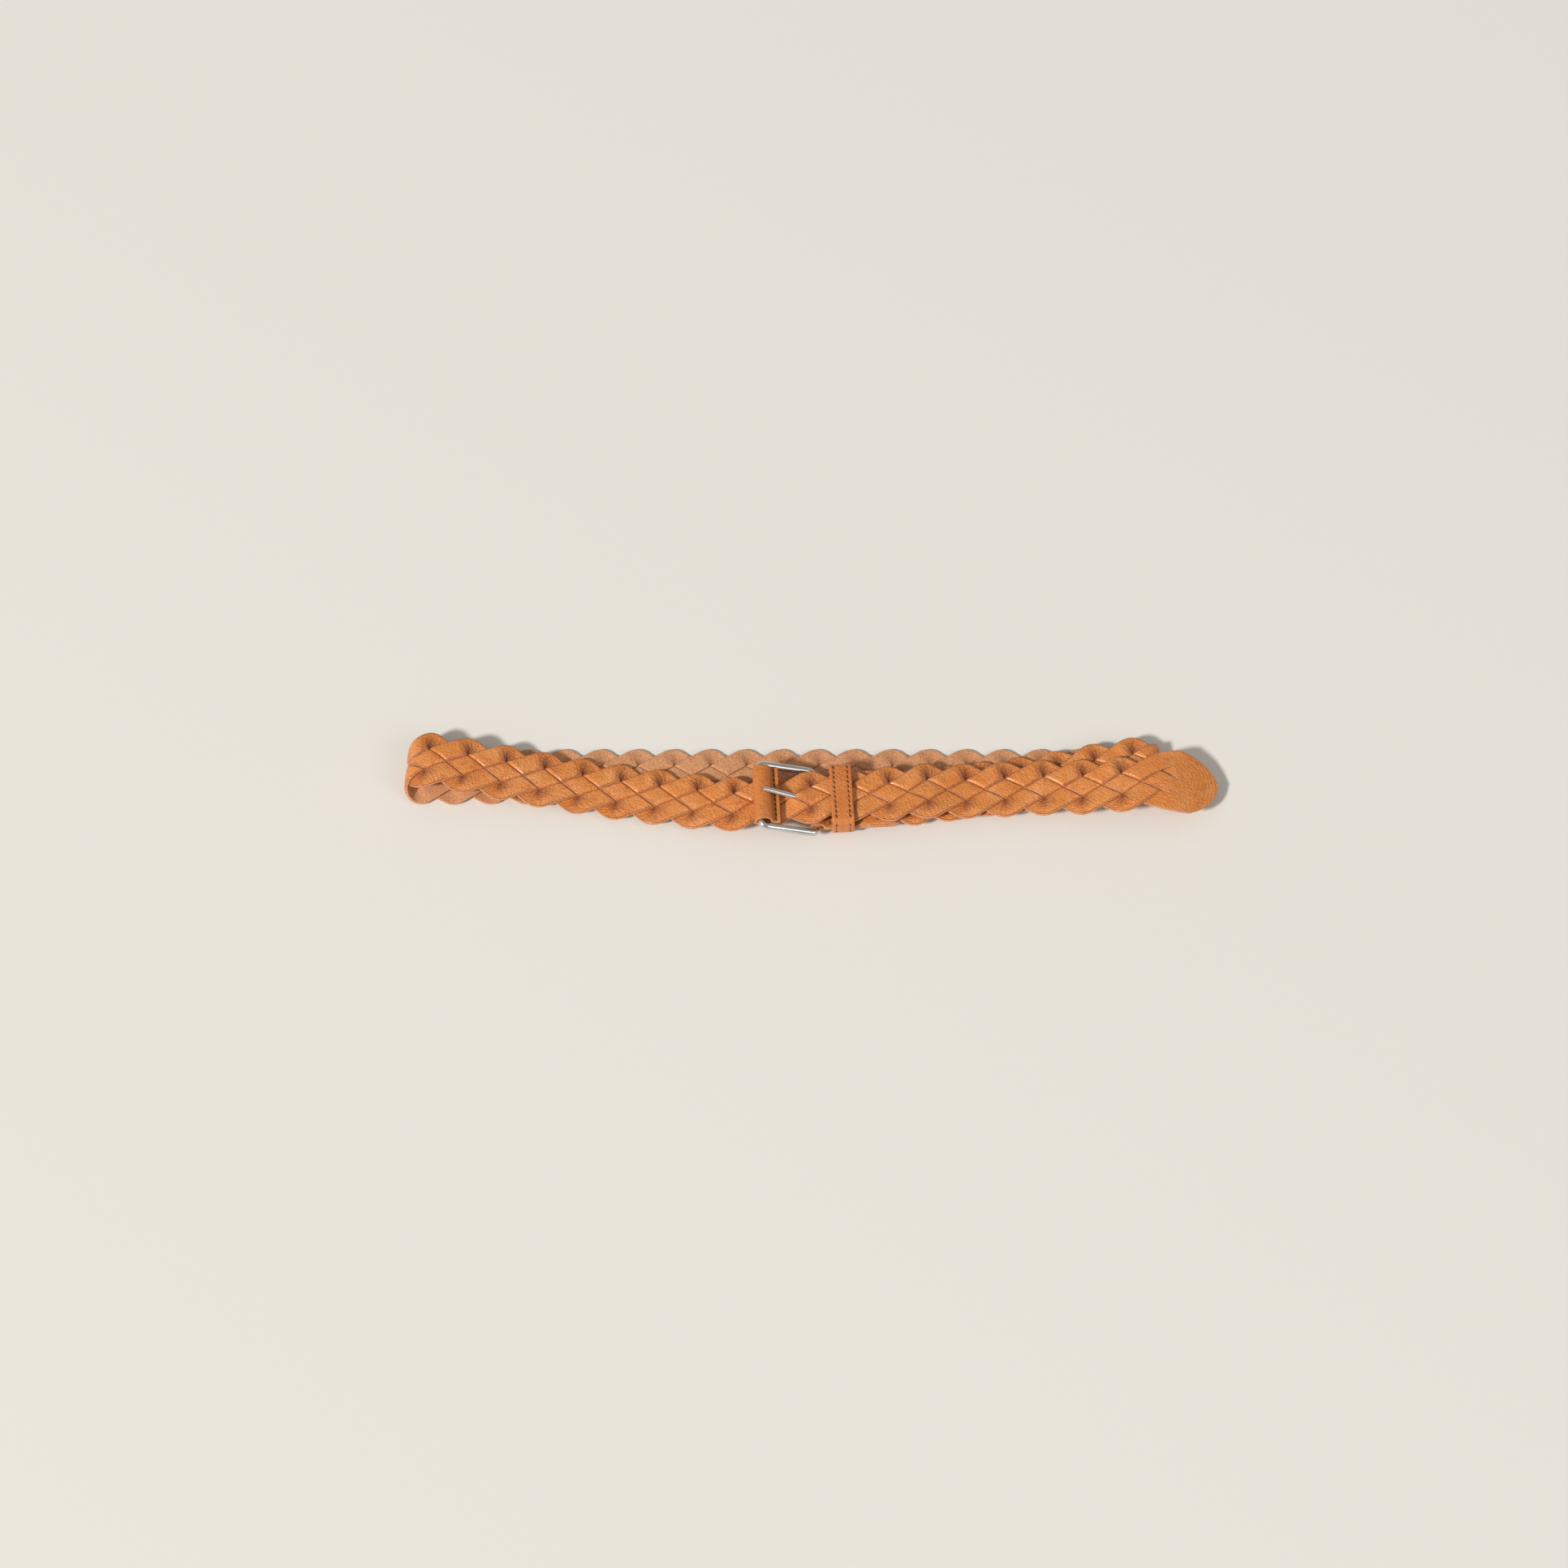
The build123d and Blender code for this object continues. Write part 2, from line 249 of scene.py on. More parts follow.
crossing_flat = 2.3             # how quickly a strand comes level after it rises or dives


def over_under(q):
    """+1 in the middle of a strand's slope, -1 in its outer crossings, flat on each crossing."""
    return np.where(np.abs(q) > 1, -1.0, np.sin(pi / 2 * np.clip(crossing_flat * np.cos(pi * q), -1, 1)))


def strand_line(turn, step):
    """Middle line of the strand that turns at the far edge at this distance and every fourth pitch.

    Each row: distance, offset, the normal's two parts, slope's sign, middle of the slope, distance
    from the nearest turn's middle, and that turn's edge.
    """
    rows = []
    half_arc = turn_radius * lay
    run = (2 * pitch - 2 * turn_radius * sin(lay)) / cos(lay)
    for period in range(-16, 3):
        for edge in (1, -1):
            hub = turn + period * 4 * pitch + (pitch - edge * pitch)
            for t in np.arange(-half_arc, half_arc, step):
                angle = edge * (pi / 2 - t / turn_radius)
                c, d = cos(angle), sin(angle)
                rows.append((hub + turn_radius * c, edge * turn_row + turn_radius * d,
                             edge * c, edge * d, -edge, hub + pitch, t, edge))
            x0 = hub + turn_radius * sin(lay)
            y0 = edge * (turn_row + turn_radius * cos(lay))
            for t in np.arange(0, run, step):
                past = (half_arc + t, edge) if t < run / 2 else (t - run - half_arc, -edge)
                rows.append((x0 + t * cos(lay), y0 - edge * t * sin(lay), edge * sin(lay), cos(lay),
                             -edge, hub + pitch, *past))
    return np.array(rows)


def lane_line(start, slope, lane, step):
    """Last stretch of a strand, from its last crossing to its place side by side in the tip."""
    end = (tip_seam, lane)
    length = hypot(end[0] - start[0], end[1] - start[1])
    t = np.append(np.linspace(0, 1, int(length / step))[1:], 1.03)
    lean = slope * sin(lay) / cos(lay)
    along = end[0] - start[0]
    x = start[0] + along * t
    y = ((2 * t**3 - 3 * t**2 + 1) * start[1] + (t**3 - 2 * t**2 + t) * along * lean
         + (3 * t**2 - 2 * t**3) * end[1])
    steep = np.gradient(y, x)
    norm = np.sqrt(1 + steep**2)
    far = np.full_like(t, 99.0)
    return np.stack([x, y, -steep / norm, 1 / norm, 0 * t, t, far, 0 * t + 1], axis=1)


turn_reach = turn_radius * lay + 3.0
columns = np.array([-1, -0.96, -0.9, *np.linspace(-0.82, 0.82, 19), 0.9, 0.96, 1])
row_step = 0.5
half_ply = strand_depth / 2


def strand_surface(rows, xi, grain_side, last_height, phase):
    """Place of each point of a strand in the strap's own axes, and its colour mark: burnish on the inside
    of each turn, painted shade along both edges and in the crease valleys.
    """
    slope, middle, past, edge = (rows[:, None, k] for k in (4, 5, 6, 7))
    flat_out = np.where(slope == 0, smooth(middle * 1.25), 0.0)
    half_width = (strand_width + (lane_width - strand_width) * flat_out) / 2
    s = rows[:, None, 0] + rows[:, None, 2] * xi * half_width
    v = rows[:, None, 1] + rows[:, None, 3] * xi * half_width
    q = ((s - middle) / (pitch / 2) + slope * v / turn_row) / 2
    height = -slope * over_under(q)
    turning = edge * (1 - 2 * smooth((past + turn_reach) / (2 * turn_reach)))
    height = np.where(np.abs(past) < turn_reach, turning, height)
    height = np.where(slope == 0, last_height * (1 - flat_out), height)
    bend = np.exp(-(past / 5.5)**2)
    arch = 0.45 * (1 - xi**2) * height + 0.8 * bend * np.cos(pi / 2 * xi) * (0.6 + 0.4 * height)
    # Colour mark, part one: burnish on the inside of each turn.
    inner = np.clip(-edge * xi * 0.7 + 0.55, 0, 1)
    # Painted shade: the colour darkens along both strand edges, standing in for the shadowed gaps between
    # strands.
    rim = np.interp(np.abs(xi), [0.8, 0.95], [0.0, 0.9]) * (1 - flat_out)
    burnish_and_shade_mark = np.maximum(bend * inner, rim)
    across = xi * strand_width / 2
    bend_wide = np.exp(-(past / 7)**2)
    wander = 0.9 * np.sin(past * 0.55 + phase) + 0.5 * np.sin(past * 1.7 + across * 0.8 + 2 * phase)
    ripple = (np.sin(across * 4.4 + wander) * 0.6
              + np.sin(past * 2.7 + across * 1.5 * np.sin(phase + s * 0.2) + phase) * 0.4)
    # Painted shade: the colour darkens in the valleys of the crease ripple, where shade would fall.
    burnish_and_shade_mark = np.clip(burnish_and_shade_mark + 0.55 * bend_wide * np.clip(-ripple - 0.1, 0, 1), 0, 1)
    shoulder = np.interp(np.abs(xi), [0.84, 0.95, 1.0], [0.0, 0.12, 0.45]) * (1 - flat_out)
    w = ply * height + arch * (1 - flat_out)
    if grain_side:
        creased = (0.07 + 0.21 * bend_wide) * ripple * (1 - rim) * (1 - flat_out)
        w = w + half_ply - shoulder + creased - 0.03 * (s > tip_seam - 0.01)
    else:
        w = w - half_ply + shoulder * 0.5
    slit = 0.26 * smooth((tip_seam - 0.8 - s) / 2.5)
    v = np.where((slope == 0) & (np.abs(v) < slit), np.where(v < 0, -slit, slit), v)
    return s, v, w, burnish_and_shade_mark


def fresh_paint(name):
    """New material: its nodes, links and shader, the object's own axes, and noise laid on them."""
    paint = bpy.data.materials.new(name)
    paint.use_nodes = True
    nodes, links = paint.node_tree.nodes, paint.node_tree.links
    place = nodes.new("ShaderNodeTexCoord").outputs["Object"]

    def noise(scale, detail, distortion=0.0):
        node = nodes.new("ShaderNodeTexNoise")
        node.inputs["Scale"].default_value = scale
        node.inputs["Detail"].default_value = detail
        node.inputs["Distortion"].default_value = distortion
        links.new(place, node.inputs["Vector"])
        return node.outputs["Fac"]

    return paint, nodes, links, nodes["Principled BSDF"], place, noise


def leather_face(name, tone, deep, pale, roughness, pebble, shade_and_burnish_tone):
    """Hide seen from its grain: dyed through, glazed, with a fine pebble, and darkened by a per-point mark
    that is partly burnish and partly painted shade.
    """
    paint, nodes, links, shader, place, noise = fresh_paint(name)

    def blend_in(below, above, factor, low, high):
        span = nodes.new("ShaderNodeMapRange")
        span.inputs["From Min"].default_value = low
        span.inputs["From Max"].default_value = high
        links.new(factor, span.inputs["Value"])
        mix = nodes.new("ShaderNodeMix")
        mix.data_type = "RGBA"
        links.new(span.outputs["Result"], mix.inputs["Factor"])
        for socket, colour in ((mix.inputs[6], below), (mix.inputs[7], above)):
            if isinstance(colour, tuple):
                socket.default_value = (*colour, 1.0)
            else:
                links.new(colour, socket)
        return mix.outputs[2]

    colour = blend_in(tone, pale, noise(70.0, 3.0, 0.6), 0.45, 0.85)
    colour = blend_in(colour, deep, noise(240.0, 5.0, 0.4), 0.52, 0.92)
    if shade_and_burnish_tone:
        # The per-point mark darkens the colour: burnish at the strand turns, and painted shade along strand
        # edges, in crease valleys and on the tab's neck.
        mark = nodes.new("ShaderNodeAttribute")
        mark.attribute_name = "burnish_and_shade_mark"
        colour = blend_in(colour, shade_and_burnish_tone, mark.outputs["Fac"], 0.15, 1.15)
    links.new(colour, shader.inputs["Base Color"])
    cells = nodes.new("ShaderNodeTexVoronoi")
    cells.inputs["Scale"].default_value = pebble
    links.new(place, cells.inputs["Vector"])
    fine = noise(pebble * 2.2, 3.0)
    relief = nodes.new("ShaderNodeMath")
    relief.operation = "ADD"
    links.new(cells.outputs["Distance"], relief.inputs[0])
    links.new(fine, relief.inputs[1])
    creases = noise(330.0, 4.0, 1.2)
    folds = nodes.new("ShaderNodeMath")
    folds.operation = "MULTIPLY_ADD"
    folds.inputs[1].default_value = 2.2
    links.new(creases, folds.inputs[0])
    links.new(relief.outputs["Value"], folds.inputs[2])
    bump = nodes.new("ShaderNodeBump")
    bump.inputs["Strength"].default_value = 0.75
    bump.inputs["Distance"].default_value = 0.0005
    links.new(folds.outputs["Value"], bump.inputs["Height"])
    links.new(bump.outputs["Normal"], shader.inputs["Normal"])
    shader.inputs["Coat Weight"].default_value = 0.35
    shader.inputs["Coat Roughness"].default_value = 0.2
    gloss = nodes.new("ShaderNodeMapRange")
    gloss.inputs["To Min"].default_value = roughness
    gloss.inputs["To Max"].default_value = roughness + 0.18
    links.new(noise(320.0, 4.0), gloss.inputs["Value"])
    links.new(gloss.outputs["Result"], shader.inputs["Roughness"])
    shader.inputs["Specular IOR Level"].default_value = 0.45
    return paint


def raw_leather(name, tone, speck, roughness, grit):
    """Undyed side of the hide: matt nap with darker and lighter flecks."""
    paint, nodes, links, shader, place, noise = fresh_paint(name)
    flecks = noise(grit, 5.0)
    ramp = nodes.new("ShaderNodeValToRGB")
    ramp.color_ramp.elements[0].position = 0.36
    ramp.color_ramp.elements[0].color = (*speck, 1.0)
    ramp.color_ramp.elements[1].position = 0.58
    ramp.color_ramp.elements[1].color = (*tone, 1.0)
    links.new(flecks, ramp.inputs["Fac"])
    links.new(ramp.outputs["Color"], shader.inputs["Base Color"])
    bump = nodes.new("ShaderNodeBump")
    bump.inputs["Strength"].default_value = 0.5
    bump.inputs["Distance"].default_value = 0.0003
    links.new(flecks, bump.inputs["Height"])
    links.new(bump.outputs["Normal"], shader.inputs["Normal"])
    shader.inputs["Roughness"].default_value = roughness
    shader.inputs["Specular IOR Level"].default_value = 0.15
    return paint


# The last colour is the dark tone of the mark: burnish at the turns, painted shade at strand edges and in
# crease valleys.
grain = leather_face("strap_grain", (0.76, 0.248, 0.048), (0.48, 0.118, 0.018), (0.86, 0.36, 0.12),
                     0.29, 1000.0, (0.20, 0.036, 0.012))
flesh = raw_leather("strap_flesh", (0.72, 0.365, 0.185), (0.48, 0.195, 0.085), 0.95, 1500.0)
cut_edge = raw_leather("strap_cut_edge", (0.70, 0.34, 0.17), (0.46, 0.17, 0.07), 0.9, 1700.0)


def box_sheet(rows, across, hole=None, cut_rim=False):
    """Closed flat box one unit deep, its faces marked grain, flesh and cut edge.

    A hole leaves out the faces it picks, and a cut rim marks the outermost columns as cut edge too.
    """
    bm = bmesh.new()
    bmesh.ops.create_grid(bm, x_segments=rows - 1, y_segments=across - 1, size=0.5)
    if hole:
        inside = [face for face in bm.faces if hole(face.calc_center_median())]
        bmesh.ops.delete(bm, geom=inside, context="FACES")
    shell = bmesh.ops.extrude_face_region(bm, geom=bm.faces[:])
    raised = [item for item in shell["geom"] if isinstance(item, bmesh.types.BMVert)]
    bmesh.ops.translate(bm, vec=(0, 0, 1), verts=raised)
    bmesh.ops.recalc_face_normals(bm, faces=bm.faces[:])
    rim = 0.5 - 1 / (across - 1)
    for face in bm.faces:
        face.material_index = 0 if face.normal.z > 0.5 else 1 if face.normal.z < -0.5 else 2
        face.smooth = face.material_index < 2
        if cut_rim and abs(face.calc_center_median().y) > rim:
            face.material_index = 2
    mesh = bpy.data.meshes.new("leather")
    bm.to_mesh(mesh)
    bm.free()
    flat = np.empty(len(mesh.vertices) * 3)
    mesh.vertices.foreach_get("co", flat)
    flat = flat.reshape(-1, 3)
    i = np.rint((flat[:, 0] + 0.5) * (rows - 1)).astype(int)
    j = np.rint((flat[:, 1] + 0.5) * (across - 1)).astype(int)
    return mesh, i, j, flat[:, 2] > 0.5


def leather_piece(name, mesh, points, mark, paints):
    mesh.name = name
    mesh.vertices.foreach_set("co", np.ascontiguousarray(points).ravel())
    layer = mesh.attributes.new("burnish_and_shade_mark", "FLOAT", "POINT")
    layer.data.foreach_set("value", np.broadcast_to(mark, (len(points),)).astype(np.float32))
    for paint in paints:
        mesh.materials.append(paint)
    mesh.update()
    piece = bpy.data.objects.new(name, mesh)
    scene.collection.objects.link(piece)
    return piece


def strand_piece(name, node, rows, last_height, phase):
    """Closed run of one strand: a flat box of leather bent to its path, grain, flesh and cut edges."""
    mesh, i, j, top = box_sheet(len(rows), len(columns), cut_rim=True)
    placed = np.empty((len(top), 3))
    mark = np.zeros(len(top))
    for side, chosen in ((True, top), (False, ~top)):
        s, v, w, burnish_and_shade_mark = strand_surface(rows, columns[None, :], side, last_height, phase)
        s = drawn_up(s)
        tent = tent_height * np.exp(-((s - over_prong) / tent_length)**2 - (v / tent_breadth)**2)
        thin = np.interp(s, press_at, press_by)
        snug = np.interp(s, squeeze_at, squeeze_by)
        spot = strap.place(s, v * snug, w * thin + tent)
        spot[..., 2] = np.maximum(spot[..., 2], 0.0)
        placed[chosen] = spot[i[chosen], j[chosen]]
        mark[chosen] = burnish_and_shade_mark[i[chosen], j[chosen]]
    piece = leather_piece(name, mesh, placed, mark, (grain, flesh, cut_edge))
    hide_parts(node)
    return piece


# Across, the plait is squeezed where the tab and the buckle hold it. Through, it is skived in the
# tab and pressed flatter along the back run and under the keeper. It rises in a low tent over the prong.
tent_height = 2.5
tent_length = 5.5
tent_breadth = 5.0
strap_thin_end = strap.distance_at(45.0, from_end=False)
strap_full_start = strap.distance_at(54.0, from_end=False)
squeeze_at = [strap_thin_end, strap_full_start, *(strap.distance_at(x) for x in (-60, -32, 24, 45))]
squeeze_by = [0.88, 1.0, 1.0, 0.95, 0.95, 1.0]
press_at = [strap_thin_end, strap_full_start, back_run_starts, back_run_starts + 12, back_run_ends - 12,
            back_run_ends, *(strap.distance_at(x) for x in (-6, 6, 46, 58))]
press_by = [skived_depth / braid_depth, 1.0, 1.0, 0.9, 0.9, 1.0, 1.0, 0.87, 0.87, 1.0]
over_prong = strap.distance_at(pivot.x - 9.0)
front_cut = strap.distance_at(-20.0)
# name, turn phase, last crossing's place, slope, height and lane in the tip
strands = (("strand_1", 0, (-pitch / 2, turn_row), 1, 1, 1.5),
           ("strand_2", pitch, (0, 0), 1, -1, 0.5),
           ("strand_3", -pitch, (0, 0), -1, 1, -0.5),
           ("strand_4", -2 * pitch, (-pitch / 2, -turn_row), -1, -1, -1.5))
for number, (node, turn, last, slope, last_height, lane) in enumerate(strands):
    line = strand_line(first_crossing + turn, row_step)
    start = (first_crossing + last[0], last[1])
    line = line[(line[:, 0] > 3.0 - drawn_whole) & (line[:, 0] < start[0])]
    line = np.concatenate([line, lane_line(start, slope, lane * lane_width, row_step)])
    cuts = [0, int(np.argmax(line[:, 0] > left_cut)), int(np.argmax(line[:, 0] > front_cut)), len(line) - 1]
    for part, (first, final) in enumerate(zip(cuts, cuts[1:])):
        name = f"{node}_{('back', 'front', 'tongue')[part]}"
        piece = strand_piece(name, node, line[first:final + 1], last_height, number * 1.7)
        if part == 0:
            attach(piece, "strap")
        elif part == 1:
            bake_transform(piece)
        else:
            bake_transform(piece)

# ---------------------------------------------------------------------------------------------
# Tip of the tongue: the part of the hide where the slits stop, cut to a pointed oval. The four
# strands grow out of its straight end, and rings of stretched grain run round the middle slit.
# ---------------------------------------------------------------------------------------------
tip_length = 19.2
tip_taper_start = 5.9           # the oval begins this far back along the strands
tip_half_width = 2 * lane_width / (1 - (tip_taper_start / (tip_length + tip_taper_start))**2)**0.625
tip_columns = np.concatenate(([-1, -0.985, -0.95], np.linspace(-0.9, 0.9, 45), [0.95, 0.985, 1]))
tip_rows = tip_length * np.sin(np.linspace(0, pi / 2, 60))


mesh, i, j, top = box_sheet(len(tip_rows), len(tip_columns))
a, f = tip_rows[i], tip_columns[j]
oval = (a + tip_taper_start) / (tip_length + tip_taper_start + 0.02)
b = f * tip_half_width * np.maximum(1 - oval**2, 0)**0.625 - 0.03 * a
ring = np.hypot(a + 1.5, b * 0.85)
rings = 0.12 * np.sin(ring * 3.1 + 0.8 * np.sin(b * 0.9)) * smooth((ring - 2) / 3) * (1 - np.abs(f)**6)
shoulder = np.interp(np.abs(f), [0.95, 1.0], [0.0, 0.35]) * smooth(a / 3)
crown = 0.35 * smooth(a / 6) * (1 - f**2)
w = np.where(top, half_ply + rings * smooth(a / 3) + crown - shoulder, -half_ply + shoulder * 0.5)
tip = leather_piece("strap_tip_oval", mesh, strap.place(tip_seam + a, b, w), 0.0, (grain, flesh, cut_edge))
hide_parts("strap_tip")
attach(tip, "strap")

# ---------------------------------------------------------------------------------------------
# Tab: one strip of smooth hide folded round the pivot bar, with a slot for the prong's eye. Its two
# leaves are sewn together beside the bar and again over the braid's thinned ends.
# ---------------------------------------------------------------------------------------------
tab_leaf = 1.35
tab_floor = 6.4
tab_half_width = 16.4
tab_neck_half_width = 15.5
tab_corner = 4.0
bar_clear = 2.1
tab_slot_half = 2.6
tab_fold_top = tab_floor + 2 * tab_leaf
fork_top = 11.35


class Profile:
    """Side outline of a bent strip on the buckle's own axes, read by the distance along it."""

    def __init__(self, corners, closed=False):
        points = np.array(corners, dtype=float)
        if closed:
            points = np.concatenate([points[-3:], points, points[:3]])
        chord = np.linalg.norm(np.diff(points, axis=0), axis=1)
        knots = np.concatenate(([0.0], np.cumsum(chord)))
        slopes = np.gradient(points, knots, axis=0)
        start, end = (knots[3], knots[-3]) if closed else (0.0, knots[-1])
        fine = np.linspace(start, end, 900)
        cell = np.clip(np.searchsorted(knots, fine, side="right") - 1, 0, len(chord) - 1)
        width = chord[cell][:, None]
        t = ((fine - knots[cell]) / chord[cell])[:, None]
        self.line = ((2 * t**3 - 3 * t**2 + 1) * points[cell] + (t**3 - 2 * t**2 + t) * width * slopes[cell]
                     + (3 * t**2 - 2 * t**3) * points[cell + 1] + (t**3 - t**2) * width * slopes[cell + 1])
        self.d = np.concatenate(([0.0], np.cumsum(np.linalg.norm(np.diff(self.line, axis=0), axis=1))))
        ahead = np.gradient(self.line, self.d, axis=0)
        ahead /= np.linalg.norm(ahead, axis=1)[:, None]
        self.out = np.stack([-ahead[:, 1], ahead[:, 0]], axis=1)

    def read(self, d, rise):
        x, z = (np.interp(d, self.d, self.line[:, k]) + rise * np.interp(d, self.d, self.out[:, k])
                for k in (0, 1))
        return x, z


def on_buckle(x, y, z):
    """Arrays of points on the buckle's own axes, placed on the belt in metres."""
    return np.stack([pivot.x + x * cos(buckle_yaw) - y * sin(buckle_yaw),
                     pivot.y + x * sin(buckle_yaw) + y * cos(buckle_yaw), z], axis=-1) * MM


def arc(x, z, radius, first, last, count):
    turn = np.radians(np.linspace(first, last, count))
    return [(x + radius * cos(t), z + radius * sin(t)) for t in turn]


# The last colour is the dark tone used as painted shade on the tab's neck.
tab_grain = leather_face("tab_grain", (0.66, 0.195, 0.032), (0.50, 0.12, 0.018), (0.72, 0.25, 0.055),
                         0.32, 1300.0, (0.25, 0.055, 0.02))
leaf = tab_leaf / 2
tab_profile = Profile([(tab_end + 0.8, tab_floor + leaf), (38, tab_floor + leaf), (32, tab_floor + leaf),
                       (26, tab_floor + leaf), (20, tab_floor + leaf), (14, tab_floor + leaf),
                       (8.5, tab_floor + leaf), (5.2, tab_floor + leaf - 0.35)]
                      + arc(0, pivot.z, bar_clear + leaf, -62, -298, 14)
                      + [(5.2, tab_fold_top - leaf + 0.35), (8.5, tab_fold_top - leaf),
                         (14, tab_fold_top - leaf), (19.5, tab_fold_top - leaf),
                         (22, 9.4), (25, fork_top - leaf - 0.15), (28, fork_top - leaf),
                         (32, fork_top - leaf), (38, fork_top - leaf), (tab_end, fork_top - leaf)])
tab_rows = np.linspace(0, tab_profile.d[-1], 220)
tab_columns = np.concatenate(([-1, -0.985, -0.96], np.linspace(-0.92, 0.92, 37), [0.96, 0.985, 1]))
fold_middle = tab_profile.d[int(np.argmin(tab_profile.line[:, 0]))]


slot_reach = 10.5               # how far the prong's slot runs each way from the fold


def over_bar_slot(centre):
    d = (centre.x + 0.5) * tab_profile.d[-1]
    across = np.interp((centre.y + 0.5) * (len(tab_columns) - 1), range(len(tab_columns)), tab_columns)
    return abs(d - fold_middle) < slot_reach and abs(across) * tab_half_width < tab_slot_half


mesh, i, j, top = box_sheet(len(tab_rows), len(tab_columns), over_bar_slot)
d, f = tab_rows[i], tab_columns[j]
from_end = np.minimum(d, tab_profile.d[-1] - d)
neck = smooth(1 - (np.abs(d - fold_middle) - 7) / 3)
half = tab_half_width + (tab_neck_half_width - tab_half_width) * neck
corner = np.sqrt(np.maximum(tab_corner**2 - np.maximum(tab_corner - from_end, 0)**2, 0)) - tab_corner
half = half + np.where(from_end < tab_corner, corner, 0)
y = f * half
shoulder = np.interp(np.abs(f), [0.96, 1.0], [0.0, 0.25])
rise = np.where(top, leaf - shoulder, -leaf + shoulder * 0.5)
dimple = 0.12 * np.exp(-((np.abs(d - fold_middle) - 11.6) / 0.8)**2)
x, z = tab_profile.read(d, rise - dimple * top)
# Painted shade: the tab's neck round the bar is darkened by a quarter of the mark, where it lies in shadow.
tab = leather_piece("folded_tab", mesh, on_buckle(x, y, z), 0.25 * neck, (tab_grain, flesh, cut_edge))
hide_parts("buckle_tab")
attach(tab, "strap")

thread = raw_leather("waxed_thread", (0.115, 0.062, 0.018), (0.05, 0.026, 0.008), 0.7, 2600.0)
stitch_pitch = 3.0
stitch_length = 2.5
stitch_radius = 0.36


def stitches(name, node, body, spots, slant):
    """Rows of slanting thread, each stitch a short plump grain sunk by half into the leather.

    A spot is a place on the buckle's axes, the way the row runs, and the leather's outward side.
    """
    bm = bmesh.new()
    for place, ahead, outward in spots:
        ahead, outward = Vector(ahead).normalized(), Vector(outward).normalized()
        run = Matrix.Rotation(slant, 3, outward) @ ahead
        frame_of_stitch = Matrix((run, outward.cross(run), outward)).transposed()
        shape = frame_of_stitch @ Matrix.Diagonal((stitch_length / 2, stitch_radius, stitch_radius * 1.05))
        bmesh.ops.create_uvsphere(bm, u_segments=8, v_segments=7, radius=1.0,
                                  matrix=Matrix.Translation(place) @ shape.to_4x4())
    bmesh.ops.rotate(bm, verts=bm.verts[:], cent=(0, 0, 0), matrix=Matrix.Rotation(buckle_yaw, 3, "Z"))
    bmesh.ops.translate(bm, verts=bm.verts[:], vec=(pivot.x, pivot.y, 0))
    bmesh.ops.scale(bm, verts=bm.verts[:], vec=(MM, MM, MM))
    for face in bm.faces:
        face.smooth = True
    mesh = bpy.data.meshes.new(name)
    bm.to_mesh(mesh)
    bm.free()
    mesh.materials.append(thread)
    piece = bpy.data.objects.new(name, mesh)
    scene.collection.objects.link(piece)
    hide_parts(node)
    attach(piece, body)


def row_across(x, z, count):
    return [(Vector((x, (k - (count - 1) / 2) * stitch_pitch, z)), (0, 1, 0), (0, 0, 1))
            for k in range(count)]


row_slant = radians(14)
front_row = 6.9
rear_row = 32.0
stitches("tab_thread_front", "tab_stitches_front", "strap",
         row_across(front_row, tab_fold_top - 0.02, 10), row_slant)
stitches("tab_thread_rear", "tab_stitches_rear", "strap",
         row_across(rear_row, fork_top - 0.02, 10), row_slant)

# ---------------------------------------------------------------------------------------------
# Buckle: frame and prong of four-millimetre steel wire, bent, brazed, tumbled and polished. The
# prong's eye is closed round the pivot bar and its shank lies on the sleeve.
# ---------------------------------------------------------------------------------------------
steel, nodes, links, shader, place, noise = fresh_paint("polished_steel")
shader.inputs["Metallic"].default_value = 1.0
tint = nodes.new("ShaderNodeValToRGB")
tint.color_ramp.elements[0].position = 0.35
tint.color_ramp.elements[0].color = (0.62, 0.60, 0.59, 1.0)
tint.color_ramp.elements[1].position = 0.65
tint.color_ramp.elements[1].color = (0.76, 0.745, 0.73, 1.0)
links.new(noise(60.0, 4.0), tint.inputs["Fac"])
links.new(tint.outputs["Color"], shader.inputs["Base Color"])
polish = nodes.new("ShaderNodeMapRange")
polish.inputs["To Min"].default_value = 0.17
polish.inputs["To Max"].default_value = 0.25
links.new(noise(900.0, 3.0), polish.inputs["Value"])
links.new(polish.outputs["Result"], shader.inputs["Roughness"])
for node_name in ("buckle_frame", "buckle_prong"):
    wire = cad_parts[node_name]
    wire.data.materials.clear()
    wire.data.materials.append(steel)
    for polygon in wire.data.polygons:
        polygon.use_smooth = True

# ---------------------------------------------------------------------------------------------
# Sleeve: a strip of smooth hide rolled loosely round the front bar, its two ends laid together as
# a flange on the pivot side and sewn through.
# ---------------------------------------------------------------------------------------------
frame_length = 32.0
frame_tilt = radians(20.56)
sleeve_hide = 1.15
sleeve_half_width = 16.7
roll_breadth = 5.0
roll_rise = 4.15
roll_forward = 0.7              # the roll hangs this far back of the bar's own middle
roll_x = -frame_length * cos(frame_tilt) + 0.85
roll_z = pivot.z + frame_length * sin(frame_tilt)
flange_low = roll_z - 3.0
flange_end = roll_x + 9.3
skin = sleeve_hide / 2
round_bar = [(roll_x + roll_forward + (roll_breadth - skin) * cos(turn),
              roll_z + (roll_rise - skin) * sin(turn))
             for turn in np.radians(np.linspace(-72, -372, 24))]
